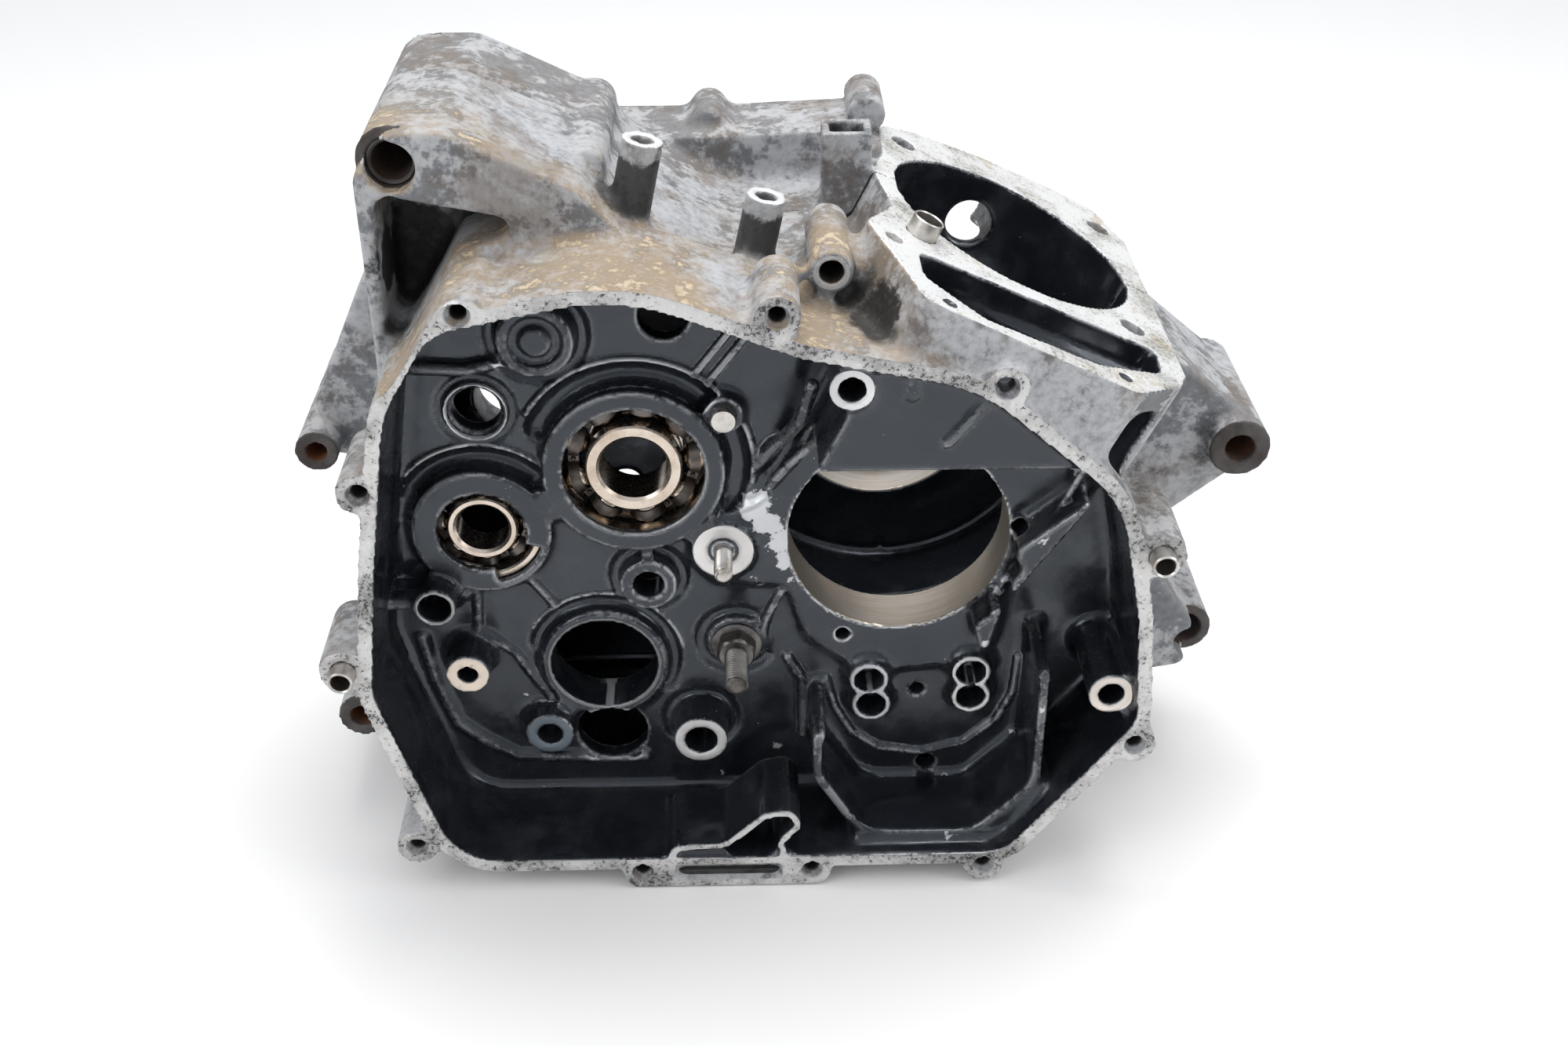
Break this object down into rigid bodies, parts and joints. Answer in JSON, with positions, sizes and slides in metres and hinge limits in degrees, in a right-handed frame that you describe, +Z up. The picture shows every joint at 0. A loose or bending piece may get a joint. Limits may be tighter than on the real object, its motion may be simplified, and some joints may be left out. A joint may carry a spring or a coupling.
{
  "type": "engine_crankcase",
  "caption": "Two-piece cast crankcase of a single-cylinder engine, stripped but for two ball bearings, studs and dowels, with black paint inside and worn grey paint outside.",
  "frame": {"origin": "centre of the crank bearing seat at its outer face, on the crank axis", "axes": "+X to the front of the engine, +Y along the crank axis away from the clutch cover, +Z up"},
  "size_m": [0.3177, 0.1625, 0.2559],
  "materials": {
    "casting": "weathered paint",
    "bearing_steel": "polished",
    "cage_steel": "satin",
    "plated_steel": "satin",
    "dark_steel": "rusty",
    "screen": "matte"
  },
  "bodies": {
    "case": {"case_clutch_side": "casting", "case_flywheel_side": "casting", "main_bearing_outer": "bearing_steel", "output_bearing_outer": "bearing_steel", "idle_gear_stud": "plated_steel", "stopper_stud": "dark_steel", "stopper_nut": "dark_steel", "inner_case_bolt": "plated_steel", "cover_dowels": "plated_steel", "cylinder_dowel": "plated_steel", "case_dowels": "plated_steel", "case_bolts": "plated_steel", "oil_strainer_screen": "screen", "drain_plug": "plated_steel", "rear_upper_bush": "dark_steel"},
    "main_ring": {"main_bearing_inner": "bearing_steel"},
    "main_ball_set": {"main_bearing_balls": "bearing_steel", "main_bearing_cage": "cage_steel"},
    "output_ring": {"output_bearing_inner": "bearing_steel"},
    "output_ball_set": {"output_bearing_balls": "bearing_steel", "output_bearing_cage": "cage_steel"}
  },
  "joints": [
    {"name": "main_ring_turn", "type": "hinge", "parent": "case", "child": "main_ring", "pos_m": [-0.0846, 0.008, 0.0266], "axis": [0, 1, 0], "continuous": true},
    {"name": "main_balls_turn", "type": "hinge", "parent": "case", "child": "main_ball_set", "pos_m": [-0.0846, 0.008, 0.0266], "axis": [0, 1, 0], "continuous": true},
    {"name": "output_ring_turn", "type": "hinge", "parent": "case", "child": "output_ring", "pos_m": [-0.1341, 0.006, 0.0051], "axis": [0, 1, 0], "continuous": true},
    {"name": "output_balls_turn", "type": "hinge", "parent": "case", "child": "output_ball_set", "pos_m": [-0.1341, 0.006, 0.0051], "axis": [0, 1, 0], "continuous": true}
  ],
  "couplings": [
    {"joint": "main_balls_turn", "follows": "main_ring_turn", "ratio": 0.3782},
    {"joint": "output_balls_turn", "follows": "output_ring_turn", "ratio": 0.3816}
  ]
}
